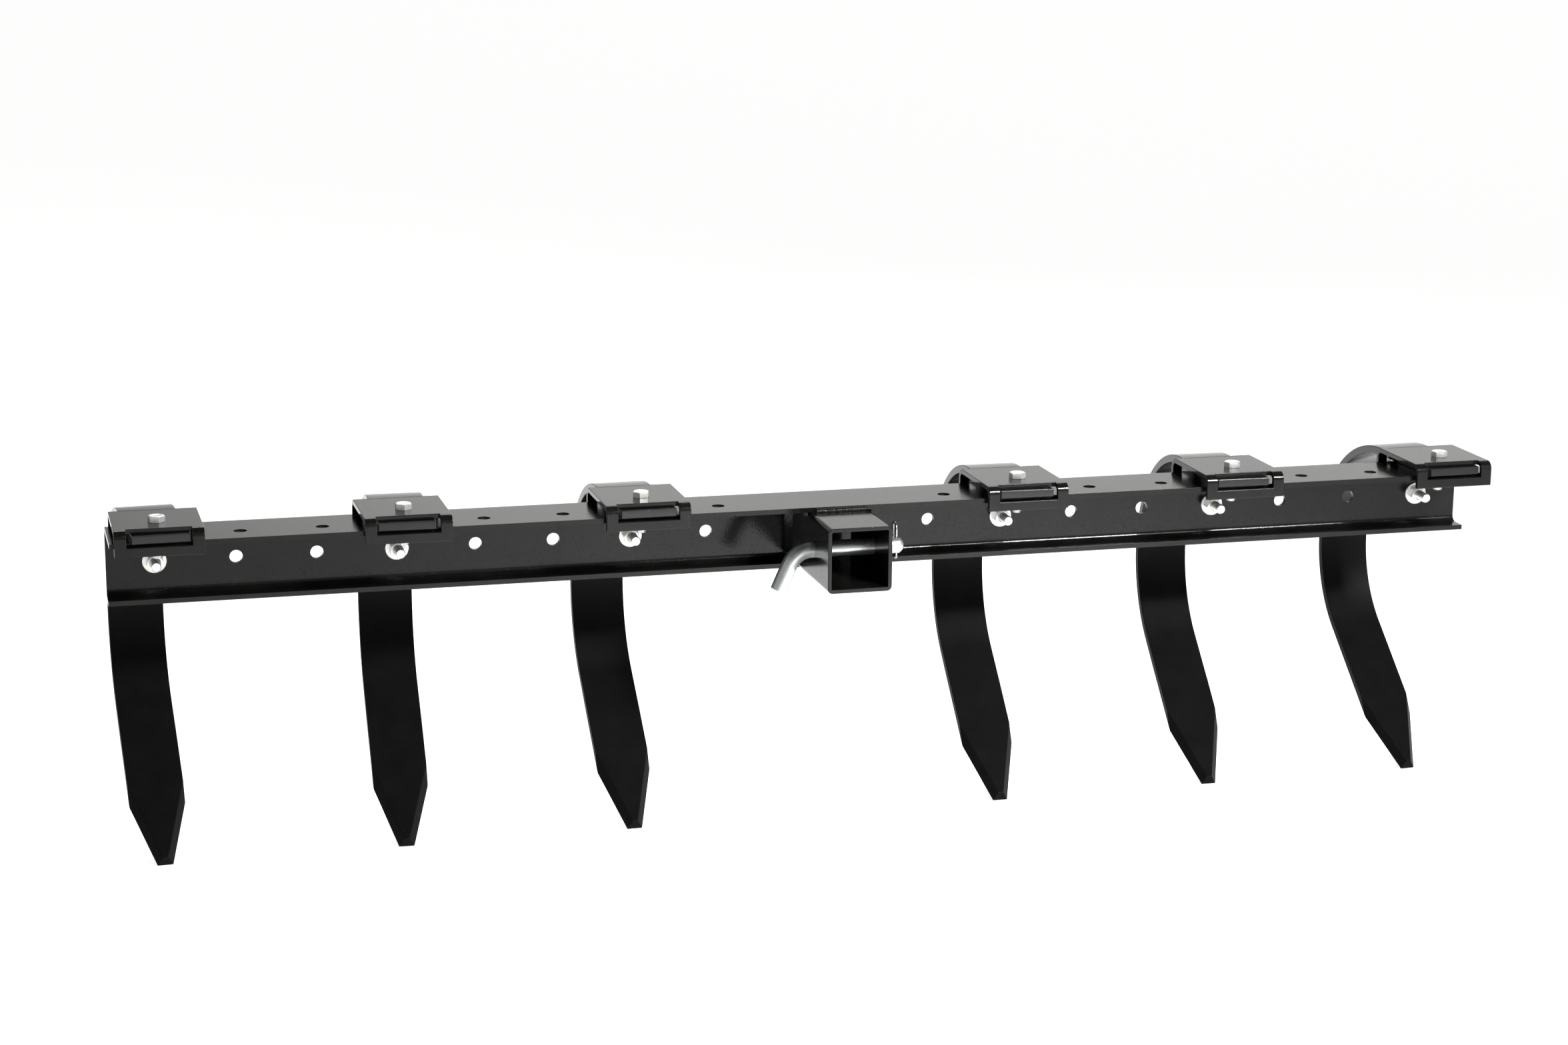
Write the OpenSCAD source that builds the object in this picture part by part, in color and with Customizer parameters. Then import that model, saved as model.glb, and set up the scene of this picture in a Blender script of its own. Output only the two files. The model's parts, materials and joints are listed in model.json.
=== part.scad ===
// Six-tine ground tool: a pressed channel bar on a square receiver tube, with six C-shank tines
// held in bent-plate clamps. The origin is where the hitch pin's axis crosses the receiver tube's
// axis. +X runs along the bar, -Y points out of the receiver's mouth, +Z is up.

/* [Receiver] */
// Outside width of the square receiver tube
tube_w = 63.5; // [60:0.5:70]
// Wall thickness of the receiver tube
tube_wall = 3.9; // [3:0.1:4.5]
// Outside corner radius of the receiver tube
tube_corner_r = 5; // [5:0.5:8]
// Distance from the pin's axis forward to the tube's mouth
mouth_reach = 52.2; // [30:0.1:80]
// Distance from the pin's axis back to the bar's front edge
bar_setback = 19.4; // [15:0.1:30]
// Diameter of the pin holes through the tube
pin_hole_d = 16; // [15.9:0.05:17]
// Leg of the weld beads
weld_leg = 5; // [3:0.5:7]

/* [Tool bar] */
// Thickness of the bar's plate
plate_t = 4.76; // [3:0.01:6]
// Depth of the bar over its web
bar_depth = 82.55; // [75:0.05:100]
// Outside radius of the bar's two bends
bar_bend_r = 11.5; // [8:0.5:14]
// Depth of the short bottom lip
lip_depth = 26.3; // [20:0.1:40]
// Distance between neighbouring hole stations
hole_pitch = 76.2; // [70:0.1:90]
// Bar left beyond the first and the last station
end_margin = 45; // [42:1:80]
// Diameter of the holes in the bar
bar_hole_d = 12.5; // [10.5:0.1:14]
// Distance from the bar's front edge to the upright holes
hole_inset = 28.1; // [25:0.1:35]

/* [Tines] */
// Width of the flat tine bar
tine_w = 53.8; // [40:0.1:56]
// Thickness of the flat tine bar
tine_t = 7.9; // [6:0.1:10]
// Flat length in front of the clamp bolt
tine_nose = 34.1; // [26:0.1:35]
// Flat length behind the clamp bolt, up to the loop
tine_flat = 77.4; // [70:0.1:100]
// Outside radius of the loop
loop_r = 125; // [100:1:150]
// How far the leg leans forward from upright, in degrees
leg_lean = 47.3; // [30:0.1:60]
// Straight length of the leg, to the point's end
leg_len = 180.5; // [120:0.5:220]
// Length of the tapered point, along the leg's rear face
point_len = 65.5; // [40:0.5:90]
// Width of the point's blunt end, on the rear face
point_w = 15.4; // [8:0.1:25]
// Sideways run of the point's bevels through the thickness
bevel_run = 6.5; // [1:0.1:7]
// Rake of the end face from square, in degrees
end_rake = 30; // [0:1:40]
// Diameter of the clamp bolt's hole in a tine
tine_hole_d = 9.7; // [9.6:0.05:10.5]
// Clearance above and below the flat, inside the clamp
tine_slip = 0.05; // [0.02:0.01:0.3]
// Rest angle of each tine on its clamp bolt, from the left, in degrees
tine_yaw = [3.1, -2.3, 0.8, -1.5, -2.0, 2.5]; // [-4:0.1:4]

/* [Clamps] */
// Width of a clamp
clamp_w = 82; // [72:1:84]
// Thickness of a clamp's plate
clamp_t = 4.76; // [3:0.01:6]
// Gap between the bar's front edge and the clamp's front lip
front_gap = 3.74; // [0.5:0.01:5]
// How far the front lip hangs below the bar's top
front_drop = 11.6; // [9:0.1:20]
// Outside radius of the front bend
front_bend_r = 8; // [7:0.5:10]
// Width of the front window
front_window_w = 59.8; // [57:0.1:62]
// How far the windows' sills lie below the bar's top
sill_drop = 2.8; // [1:0.1:5]
// How far the front window is cut back into the top plate, behind the bar's front edge
front_cut = 1.9; // [0.5:0.1:4]
// Gap between the bar's web and the clamp's rear leg
rear_gap = 0.2; // [0.1:0.05:1]
// How far the rear leg hangs below the bar's top
rear_drop = 50; // [45:0.5:60]
// Outside radius of the rear bend
rear_bend_r = 9.5; // [7:0.5:12]
// Width of the rear window
rear_window_w = 62.4; // [60:0.1:64]
// Diameter of a clamp's bolt holes
clamp_hole_d = 10.3; // [9.8:0.1:11]

/* [Fasteners] */
// Thread diameter of the bolts
bolt_d = 9.525; // [9.4:0.025:9.55]
// Length of a bolt under its head
bolt_len = 36.5; // [34:0.5:40]
// Length under the head of the upright bolts
upright_bolt_len = 34.5; // [32:0.5:40]
// Width across the flats of heads and nuts
hex_af = 14.3; // [13:0.1:17]
// Height of a bolt head
head_h = 6; // [5:0.1:7]
// Height of a nut
nut_h = 8.3; // [7:0.1:9]
// Outside diameter of a washer
washer_d = 22.8; // [20:0.5:26]
// Thickness of a washer
washer_t = 2.1; // [1.2:0.1:2.6]

/* [Hitch pin] */
// Diameter of the hitch pin
pin_d = 15.875; // [15.8:0.005:15.88]
// Distance from the tube's axis to the pin's free end
pin_reach = 57.3; // [50:0.1:70]
// Distance from the tube's axis to the start of the pin's bend
bend_start = 33.5; // [32:0.1:40]
// Centreline radius of the pin's bend
pin_bend_r = 23.8; // [18:0.1:30]
// Angle of the pin's bend, in degrees
pin_bend = 65.5; // [45:0.5:90]
// Straight length of the pin's handle
handle_len = 28; // [15:0.5:45]
// Length of the taper at the pin's free end
nose_taper = 3.2; // [1:0.1:5]

/* [Hitch clip] */
// Diameter of the clip's wire
wire_d = 2.6; // [2.2:0.1:3.5]
// Distance from the tube's axis to the clip
clip_x = 51.4; // [45:0.1:52]
// Diameter of the cross hole in the pin
cross_hole_d = 4; // [3.8:0.1:5]
// Centreline radius of the clip's eye
eye_r = 5.2; // [3.5:0.1:6]
// Height of the eye's centre above the pin's axis
eye_rise = 15.5; // [13.5:0.1:16]
// Reach of the straight leg below the pin's axis
clip_drop = 13.5; // [11:0.1:18]

/* [Hidden] */
$fn = 64;
STATIONS = 18;
TINE_STATIONS = [0, 3, 6, 11, 14, 17];
FREE_STATIONS = [1, 2, 4, 5, 7, 10, 12, 13, 15, 16];
TINE_COUNT = len(TINE_STATIONS);
CUT = 60;

bar_top = tube_w / 2 + plate_t;
bar_h = tube_w + 2 * plate_t;
bar_len = (STATIONS - 1) * hole_pitch + 2 * end_margin;
bar_rear = bar_setback + bar_depth;
lip_toe = bar_rear - lip_depth;
bolt_y = bar_setback + hole_inset;

clamp_under = bar_top + tine_t + 2 * tine_slip;
clamp_top = clamp_under + clamp_t;
lip_face = bar_setback - front_gap - clamp_t;
leg_face = bar_rear + rear_gap + clamp_t;

tine_under = bar_top + tine_slip;
loop_y = bolt_y + tine_flat;
loop_z = tine_under + tine_t - loop_r;
point_start = leg_len - point_len;
taper_slope = (tine_w - point_w) / 2 / point_len;
bevel_slope = bevel_run / tine_t;

pin_r = pin_d / 2;
wire_r = wire_d / 2;
rear_leg_y = pin_r + wire_r + 0.3;

paint = [0.05, 0.05, 0.055];
tine_black = [0.09, 0.09, 0.095];
zinc = [0.72, 0.73, 0.74];
weld_black = [0.12, 0.12, 0.12];

// ---- helpers ----

// X of a hole station, counted from the bar's left end.
function station_x(i) = (i - (STATIONS - 1) / 2) * hole_pitch;

// Puts a flat outline, drawn in Y and Z, upright and extrudes it along X, centred.
module along_x(width) {
    rotate([90, 0, 90]) linear_extrude(width, center = true) children();
}

// Quarter of a ring in the first quadrant: the section of a plate's bend.
module bend_ring(r_out, t) {
    intersection() {
        difference() {
            circle(r_out);
            circle(r_out - t);
        }
        square(r_out);
    }
}

module rounded_square(w, r) {
    square([w - 2 * r, w], center = true);
    square([w, w - 2 * r], center = true);
    for (x = [-1, 1], y = [-1, 1])
        translate([x * (w / 2 - r), y * (w / 2 - r)]) circle(r);
}

module at_stations(stations) {
    for (i = stations) translate([station_x(i), 0, 0]) children();
}

// Stands children on the clamps' top, at the upright holes.
module at_upright_holes() {
    at_stations(TINE_STATIONS) translate([0, bolt_y, 0]) children();
}

// Turns children so that their +Z points to the rear, at the level holes.
module at_web_holes() {
    at_stations(TINE_STATIONS) rotate([-90, 0, 0]) children();
}

// ---- bar and receiver ----

// Channel section: top flange, web and short bottom lip.
module bar_section() {
    corner_y = bar_rear - bar_bend_r;
    translate([bar_setback, bar_top - plate_t])
        square([corner_y - bar_setback, plate_t]);
    translate([corner_y, bar_top - bar_bend_r]) bend_ring(bar_bend_r, plate_t);
    translate([bar_rear - plate_t, bar_bend_r - bar_h / 2])
        square([plate_t, bar_h - 2 * bar_bend_r]);
    translate([corner_y, bar_bend_r - bar_h / 2])
        mirror([0, 1]) bend_ring(bar_bend_r, plate_t);
    translate([lip_toe, -bar_h / 2]) square([corner_y - lip_toe, plate_t]);
}

module toolbar() {
    used = concat(TINE_STATIONS, FREE_STATIONS);
    color(paint) difference() {
        along_x(bar_len) bar_section();
        at_stations(used)
            translate([0, bolt_y, bar_top - 2 * plate_t]) cylinder(d = bar_hole_d, h = 3 * plate_t);
        at_stations(used)
            translate([0, bar_rear - 2 * plate_t, 0]) rotate([-90, 0, 0])
                cylinder(d = bar_hole_d, h = 3 * plate_t);
    }
}

module receiver_tube() {
    color(paint) difference() {
        translate([0, lip_toe, 0]) rotate([90, 0, 0])
            linear_extrude(lip_toe + mouth_reach) difference() {
                rounded_square(tube_w, tube_corner_r);
                rounded_square(tube_w - 2 * tube_wall, tube_corner_r - tube_wall);
            }
        rotate([0, 90, 0]) cylinder(d = pin_hole_d, h = 2 * tube_w, center = true);
    }
}

// Quarter-round bead along +X, in the corner where -Y meets +Z.
module bead(length) {
    rotate([90, 0, 90]) linear_extrude(length, center = true)
        intersection() {
            circle(weld_leg);
            translate([-weld_leg, 0]) square(weld_leg);
        }
}

module receiver_welds() {
    flat_w = tube_w - 2 * tube_corner_r;
    side_len = 18;
    color(weld_black) {
        // across the tube's top, at the flange's front edge
        translate([0, bar_setback, tube_w / 2]) bead(flat_w);
        // under the tube's bottom, at the lip's toe
        translate([0, lip_toe, -tube_w / 2]) mirror([0, 0, 1]) bead(flat_w);
        // along both sides of the tube, under the flange
        for (side = [0, 1]) mirror([side, 0, 0])
            translate([tube_w / 2, bar_setback + side_len / 2, tube_w / 2])
                rotate([0, 0, 90]) mirror([0, 0, 1]) bead(side_len);
    }
}

// ---- tines ----

// Side outline of a tine, in Y and Z: flat, loop and leg.
module tine_side() {
    loop_turn = 90 + leg_lean;
    translate([bolt_y - tine_nose, tine_under]) square([tine_nose + tine_flat, tine_t]);
    translate([loop_y, loop_z]) {
        difference() {
            circle(loop_r, $fn = 180);
            circle(loop_r - tine_t, $fn = 180);
            // everything between the leg's start and the flat, on the open side
            polygon([
                [0, 0],
                [0, 2 * loop_r],
                [-2 * loop_r, 2 * loop_r],
                [-2 * loop_r, -2 * loop_r],
                [2 * loop_r * cos(90 - loop_turn), 2 * loop_r * sin(90 - loop_turn)]
            ]);
        }
        rotate(90 - loop_turn) translate([loop_r - tine_t, -leg_len]) square([tine_t, leg_len]);
    }
}

// Frame of the leg: +Y runs down to the point and +Z out of the rear face.
module on_leg() {
    translate([0, loop_y + loop_r * cos(leg_lean), loop_z - loop_r * sin(leg_lean)])
        rotate([270 - leg_lean, 0, 0]) children();
}

module point_cuts() {
    tilt = asin(bevel_slope / norm([1, taper_slope, bevel_slope]));
    on_leg() {
        for (side = [0, 1]) mirror([side, 0, 0])
            translate([tine_w / 2, point_start, 0]) rotate([0, tilt, atan(taper_slope)])
                translate([0, -CUT, -CUT / 3]) cube([CUT, 3 * CUT, 2 * CUT / 3]);
        translate([0, leg_len, 0]) rotate([-end_rake, 0, 0])
            translate([-CUT, 0, -CUT / 2]) cube([2 * CUT, CUT / 2, CUT]);
    }
}

module tine(k) {
    color(tine_black)
        translate([station_x(TINE_STATIONS[k]), bolt_y, 0]) rotate(tine_yaw[k])
            translate([0, -bolt_y, 0]) difference() {
                along_x(tine_w) tine_side();
                point_cuts();
                translate([0, bolt_y, bar_top - tine_t]) cylinder(d = tine_hole_d, h = 3 * tine_t);
            }
}

// ---- clamps ----

// Side outline of a clamp, in Y and Z: front lip, top plate and rear leg.
module clamp_section() {
    front_y = lip_face + front_bend_r;
    rear_y = leg_face - rear_bend_r;
    translate([lip_face, bar_top - front_drop])
        square([clamp_t, clamp_top - front_bend_r - bar_top + front_drop]);
    translate([front_y, clamp_top - front_bend_r])
        mirror([1, 0]) bend_ring(front_bend_r, clamp_t);
    translate([front_y, clamp_under]) square([rear_y - front_y, clamp_t]);
    translate([rear_y, clamp_top - rear_bend_r]) bend_ring(rear_bend_r, clamp_t);
    translate([leg_face - clamp_t, bar_top - rear_drop])
        square([clamp_t, clamp_top - rear_bend_r - bar_top + rear_drop]);
}

module clamp(k) {
    sill = bar_top - sill_drop;
    color(paint) translate([station_x(TINE_STATIONS[k]), 0, 0]) difference() {
        along_x(clamp_w) clamp_section();
        translate([-front_window_w / 2, bar_setback + front_cut - CUT, sill])
            cube([front_window_w, CUT, CUT]);
        translate([-rear_window_w / 2, leg_face - rear_bend_r, sill])
            cube([rear_window_w, CUT, CUT]);
        translate([0, bolt_y, clamp_under - clamp_t]) cylinder(d = clamp_hole_d, h = 3 * clamp_t);
        translate([0, leg_face - 2 * clamp_t, 0]) rotate([-90, 0, 0])
            cylinder(d = clamp_hole_d, h = 3 * clamp_t);
    }
}

// ---- fasteners ----

// Hexagon with the corners of its upper face turned off.
module hex_block(h) {
    top_r = 0.95 * hex_af / 2;
    intersection() {
        cylinder(d = hex_af / cos(30), h = h, $fn = 6);
        cylinder(r1 = top_r + h / tan(30), r2 = top_r, h = h);
    }
}

// Bolt with its head standing on z = 0 and its shank below.
module bolt(len) {
    tip = 1;
    hex_block(head_h);
    translate([0, 0, tip - len]) cylinder(d = bolt_d, h = len - tip);
    translate([0, 0, -len]) cylinder(d1 = bolt_d - 2 * tip, d2 = bolt_d, h = tip);
}

// Washer hanging below z = 0.
module washer() {
    washer_bore = 11.1;
    translate([0, 0, -washer_t]) difference() {
        cylinder(d = washer_d, h = washer_t);
        translate([0, 0, -washer_t]) cylinder(d = washer_bore, h = 3 * washer_t);
    }
}

// Nut hanging below z = 0, its turned face down.
module nut() {
    nut_bore = bolt_d + 0.1;
    difference() {
        mirror([0, 0, 1]) hex_block(nut_h);
        translate([0, 0, -2 * nut_h]) cylinder(d = nut_bore, h = 3 * nut_h);
    }
}

module clamp_bolts() {
    color(zinc) at_upright_holes() translate([0, 0, clamp_top]) rotate(12) bolt(upright_bolt_len);
}

module clamp_washers() {
    color(zinc) at_upright_holes() translate([0, 0, bar_top - plate_t]) washer();
}

module clamp_nuts() {
    color(zinc) at_upright_holes() translate([0, 0, bar_top - plate_t - washer_t]) nut();
}

module web_bolts() {
    color(zinc) at_web_holes() translate([0, 0, leg_face]) rotate(20) bolt(bolt_len);
}

module web_washers() {
    color(zinc) at_web_holes() translate([0, 0, bar_rear - plate_t]) washer();
}

module web_nuts() {
    color(zinc) at_web_holes() translate([0, 0, bar_rear - plate_t - washer_t]) rotate(8) nut();
}

// ---- hitch pin and clip ----

module hitch_pin() {
    nose_r = pin_r - 0.85 * nose_taper;
    // the handle is a hair thinner than the bend that it starts inside
    step = 0.05;
    overlap = 1;
    color(zinc) difference() {
        union() {
            translate([-bend_start, 0, 0]) rotate([0, 90, 0])
                cylinder(r = pin_r, h = bend_start + pin_reach - nose_taper);
            translate([pin_reach - nose_taper, 0, 0]) rotate([0, 90, 0])
                cylinder(r1 = pin_r, r2 = nose_r, h = nose_taper);
            translate([-bend_start, 0, -pin_bend_r]) rotate([90, 0, 0]) {
                rotate(90) rotate_extrude(angle = pin_bend)
                    translate([pin_bend_r, 0]) circle(pin_r);
                rotate(90 + pin_bend) translate([pin_bend_r, -overlap, 0]) rotate([-90, 0, 0])
                    cylinder(r = pin_r - step, h = handle_len + overlap);
            }
        }
        translate([clip_x, 0, 0]) cylinder(d = cross_hole_d, h = 2 * pin_d, center = true);
    }
}

// Straight wire from one point of the clip's plane to another, a hair thinner than its elbows.
module wire_leg(from, to) {
    run = to - from;
    translate(from) rotate(atan2(run.y, run.x) - 90) rotate([-90, 0, 0])
        cylinder(r = wire_r - 0.05, h = norm(run));
}

module elbow(at) {
    translate(at) sphere(wire_r);
}

// The clip lies in an upright plane across the pin: a straight leg through the pin, an eye above
// it, and a spring leg that comes down behind the pin and flares out at its end.
module hitch_clip() {
    eye_side = [2 * eye_r, eye_rise, 0];
    pinch = [rear_leg_y, 0, 0];
    flare_end = pinch + [4, -8.5, 0];
    color(zinc) translate([clip_x, 0, 0]) rotate([90, 0, 90]) {
        wire_leg([0, -clip_drop, 0], [0, eye_rise, 0]);
        translate([eye_r, eye_rise, 0]) rotate_extrude() translate([eye_r, 0]) circle(wire_r);
        wire_leg(eye_side, pinch);
        elbow(pinch);
        wire_leg(pinch, flare_end);
        elbow(flare_end);
    }
}

toolbar();
receiver_tube();
receiver_welds();
for (k = [0 : TINE_COUNT - 1]) {
    tine(k);
    clamp(k);
}
clamp_bolts();
clamp_washers();
clamp_nuts();
web_bolts();
web_washers();
web_nuts();
hitch_pin();
hitch_clip();
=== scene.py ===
"""Looks of the six-tine tool bar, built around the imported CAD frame.

Plates, tines, bolts, pin and clip are rebuilt as finely cut meshes with rolled edges, real threads
and weld ripples, in the places that the frame gives. All sizes are in metres.
"""

import json
import math
import random

import bmesh
import bpy
from mathutils import Matrix, Vector


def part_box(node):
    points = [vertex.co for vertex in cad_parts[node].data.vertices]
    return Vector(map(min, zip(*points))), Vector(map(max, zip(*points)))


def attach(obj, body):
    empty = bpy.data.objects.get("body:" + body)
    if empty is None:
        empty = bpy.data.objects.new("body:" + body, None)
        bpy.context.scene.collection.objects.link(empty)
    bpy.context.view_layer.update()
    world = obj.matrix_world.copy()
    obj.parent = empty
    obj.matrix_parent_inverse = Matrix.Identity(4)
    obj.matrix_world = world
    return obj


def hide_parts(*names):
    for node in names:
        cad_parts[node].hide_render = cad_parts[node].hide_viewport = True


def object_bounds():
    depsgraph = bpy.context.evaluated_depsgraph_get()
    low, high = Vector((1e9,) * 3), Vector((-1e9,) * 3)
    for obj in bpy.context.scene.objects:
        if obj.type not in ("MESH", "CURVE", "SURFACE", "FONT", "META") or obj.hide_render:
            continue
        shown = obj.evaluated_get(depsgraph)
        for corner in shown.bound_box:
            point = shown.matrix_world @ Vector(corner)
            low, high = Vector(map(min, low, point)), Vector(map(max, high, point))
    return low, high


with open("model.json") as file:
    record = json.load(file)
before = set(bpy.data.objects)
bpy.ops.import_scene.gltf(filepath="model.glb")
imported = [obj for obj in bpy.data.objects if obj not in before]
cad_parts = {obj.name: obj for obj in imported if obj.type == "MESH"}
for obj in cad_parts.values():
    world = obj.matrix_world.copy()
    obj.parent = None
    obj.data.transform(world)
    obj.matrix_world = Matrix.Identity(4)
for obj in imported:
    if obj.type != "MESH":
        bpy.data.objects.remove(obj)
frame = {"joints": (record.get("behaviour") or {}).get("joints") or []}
CAD_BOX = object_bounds()

MM = 0.001
X_AXIS = Vector((1, 0, 0))
Y_AXIS = Vector((0, 1, 0))
Z_AXIS = Vector((0, 0, 1))

# ---- sizes that the frame gives ----

BAR_LOW, BAR_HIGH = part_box("toolbar")
TUBE_LOW, TUBE_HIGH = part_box("receiver_tube")
PIN_TIP_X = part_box("hitch_pin")[1].x
SWIVELS = [j for j in frame["joints"] if j["name"].startswith("tine_")]
STATION_X = [j["pos_m"][0] for j in SWIVELS]
BOLT_Y = SWIVELS[0]["pos_m"][1]
# a tine turns 4 degrees each way from square, so its range tells how it stands at rest
TINE_YAW = [-math.radians(sum(j["range_deg"]) / 2) for j in SWIVELS]

BAR_TOP = BAR_HIGH.z
BAR_REAR = BAR_HIGH.y
BAR_FRONT = BAR_LOW.y

# ---- sizes of the plates, wires and threads ----

PLATE = 4.76 * MM
BAR_BEND = 11.5 * MM
LIP_DEPTH = 26.3 * MM
BAR_HOLE = 6.25 * MM
HOLE_PITCH = 76.2 * MM
FREE_STATIONS = (1, 2, 4, 5, 7, 10, 12, 13, 15, 16)
STATIONS = 18

TUBE_WALL = 3.9 * MM
TUBE_CORNER = 5 * MM
PIN_HOLE = 8 * MM

TINE_HALF = 26.9 * MM
TINE_T = 7.9 * MM
TINE_NOSE = 34.1 * MM
TINE_FLAT = 77.4 * MM
TINE_SLIP = 0.05 * MM
TINE_HOLE = 4.85 * MM
LOOP_R = 125 * MM
LEG_LEAN = math.radians(47.3)
LEG_LEN = 180.5 * MM
POINT_LEN = 65.5 * MM
POINT_HALF = 7.7 * MM
BEVEL_RUN = 6.5 * MM
END_RAKE = math.radians(30)

CLAMP_LOW, CLAMP_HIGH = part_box("clamp_1")
CLAMP_HALF = (CLAMP_HIGH.x - CLAMP_LOW.x) / 2
CLAMP_FRONT_BEND = 8 * MM
CLAMP_REAR_BEND = 9.5 * MM
CLAMP_FRONT_DROP = 11.6 * MM
CLAMP_HOLE = 5.15 * MM
WINDOW_FRONT = 29.9 * MM
WINDOW_REAR = 31.2 * MM
WINDOW_SILL = 2.8 * MM
WINDOW_CUT = 1.9 * MM

BOLT_R = 4.7625 * MM
BOLT_LEN = 36.5 * MM
UPRIGHT_BOLT_LEN = 34.5 * MM
THREAD_PITCH = 25.4 / 16 * MM
THREAD_DEPTH = 0.62 * MM
HEX_FLAT = 14.3 / 2 * MM
HEAD_H = 6 * MM
NUT_H = 8.3 * MM
WASHER_R = 11.4 * MM
WASHER_BORE = 5.55 * MM
WASHER_T = 2.1 * MM
WASHER_FACE = 0.3 * MM
PLAIN_SHANK = 9 * MM

PIN_R = 15.875 / 2 * MM
PIN_BEND_X = -33.5 * MM
PIN_BEND_R = 23.8 * MM
PIN_BEND = math.radians(65.5)
PIN_HANDLE = 28 * MM
PIN_TAPER = 3.2 * MM
CROSS_HOLE = 2 * MM

WIRE_R = 1.3 * MM
CLIP_X = 51.4 * MM
CLIP_DROP = 13.5 * MM
EYE_R = 5.2 * MM
EYE_RISE = 15.5 * MM
CLIP_SLACK = 0.3 * MM

SIDE_WELD_LEN = 18 * MM
WELD_LEG = 4.7 * MM
WELD_RIPPLE = 2.6 * MM

# radii that the edges of each kind of piece are rolled over to
BAR_EDGE = 0.45 * MM
TUBE_EDGE = 0.5 * MM
CLAMP_EDGE = 0.5 * MM
TINE_EDGE = 0.7 * MM
PIN_EDGE = 0.25 * MM

ROUND = 64


# ---- mesh helpers ----


def link_mesh(name, bm):
    """Makes an object of a bmesh, with double points merged and all faces pointing outwards."""
    bmesh.ops.remove_doubles(bm, verts=bm.verts, dist=1e-7)
    bmesh.ops.recalc_face_normals(bm, faces=bm.faces)
    mesh = bpy.data.meshes.new(name)
    bm.to_mesh(mesh)
    bm.free()
    obj = bpy.data.objects.new(name, mesh)
    bpy.context.scene.collection.objects.link(obj)
    return obj


def shade(obj, angle=35):
    """Smooth shading, broken at folds sharper than angle degrees."""
    for face in obj.data.polygons:
        face.use_smooth = True
    obj.data.set_sharp_from_angle(angle=math.radians(angle))


def bake_modifiers(obj):
    """Replaces the mesh with the one that its modifiers make."""
    bpy.context.view_layer.update()
    graph = bpy.context.evaluated_depsgraph_get()
    mesh = bpy.data.meshes.new_from_object(obj.evaluated_get(graph))
    obj.modifiers.clear()
    obj.data = mesh


def round_edges(obj, width, segments=3, angle=28):
    """Rolls every edge sharper than angle over to a small radius; flat faces stay flat-lit."""
    for face in obj.data.polygons:
        face.use_smooth = True
    bevel = obj.modifiers.new("edges", "BEVEL")
    bevel.width = width
    bevel.segments = segments
    bevel.limit_method = "ANGLE"
    bevel.angle_limit = math.radians(angle)
    bevel.use_clamp_overlap = True
    weighted = obj.modifiers.new("flats", "WEIGHTED_NORMAL")
    weighted.mode = "FACE_AREA"
    weighted.weight = 100
    bake_modifiers(obj)


def add_cylinder(bm, centre, axis, radius, depth, sides=ROUND):
    """Adds a round cutter, centred on centre and lying along axis."""
    turn = Z_AXIS.rotation_difference(Vector(axis)).to_matrix().to_4x4()
    bmesh.ops.create_cone(
        bm,
        cap_ends=True,
        segments=sides,
        radius1=radius,
        radius2=radius,
        depth=depth,
        matrix=Matrix.Translation(centre) @ turn,
    )


def add_block(bm, low, high):
    """Adds a box cutter between two corners."""
    size = Vector(high) - Vector(low)
    middle = (Vector(high) + Vector(low)) / 2
    scale = Matrix.Diagonal((*size, 1))
    bmesh.ops.create_cube(bm, size=1, matrix=Matrix.Translation(middle) @ scale)


def cut_away(obj, cutter_bm):
    """Subtracts the closed pieces in cutter_bm from obj."""
    cutter = link_mesh("cutter", cutter_bm)
    boolean = obj.modifiers.new("cut", "BOOLEAN")
    boolean.operation = "DIFFERENCE"
    boolean.solver = "EXACT"
    boolean.object = cutter
    bake_modifiers(obj)
    bpy.data.objects.remove(cutter)


def loft(bm, rings, closed_ends=True):
    """Joins rings of points, each with the same count, into a skin."""
    rows = [[bm.verts.new(p) for p in ring] for ring in rings]
    count = len(rows[0])
    for a, b in zip(rows, rows[1:]):
        for i in range(count):
            j = (i + 1) % count
            bm.faces.new((a[i], a[j], b[j], b[i]))
    if closed_ends:
        bm.faces.new(rows[0][::-1])
        bm.faces.new(rows[-1])


def extrude_section(name, outline, x_low, x_high):
    """Solid whose section in Y and Z is outline, from x_low to x_high."""
    bm = bmesh.new()
    loft(bm, [[(x, y, z) for y, z in outline] for x in (x_low, x_high)])
    return link_mesh(name, bm)


def unit(a, b):
    """Direction from a to b in the plane."""
    length = math.dist(a, b)
    return ((b[0] - a[0]) / length, (b[1] - a[1]) / length)


def folded_plate(corners, radii, steps=14):
    """Section of a plate folded clockwise by right angles; corners run along its outer line."""
    outer, inner = [], []
    first = unit(corners[0], corners[1])
    outer.append(corners[0])
    inner.append((corners[0][0] + first[1] * PLATE, corners[0][1] - first[0] * PLATE))
    for i, radius in enumerate(radii, start=1):
        back = unit(corners[i - 1], corners[i])
        ahead = unit(corners[i], corners[i + 1])
        centre = tuple(corners[i][k] - back[k] * radius + ahead[k] * radius for k in (0, 1))
        for step in range(steps + 1):
            angle = math.pi / 2 * step / steps
            out = tuple(-ahead[k] * math.cos(angle) + back[k] * math.sin(angle) for k in (0, 1))
            outer.append(tuple(centre[k] + out[k] * radius for k in (0, 1)))
            inner.append(tuple(centre[k] + out[k] * (radius - PLATE) for k in (0, 1)))
    last = unit(corners[-2], corners[-1])
    outer.append(corners[-1])
    inner.append((corners[-1][0] + last[1] * PLATE, corners[-1][1] - last[0] * PLATE))
    return outer + inner[::-1]


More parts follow.
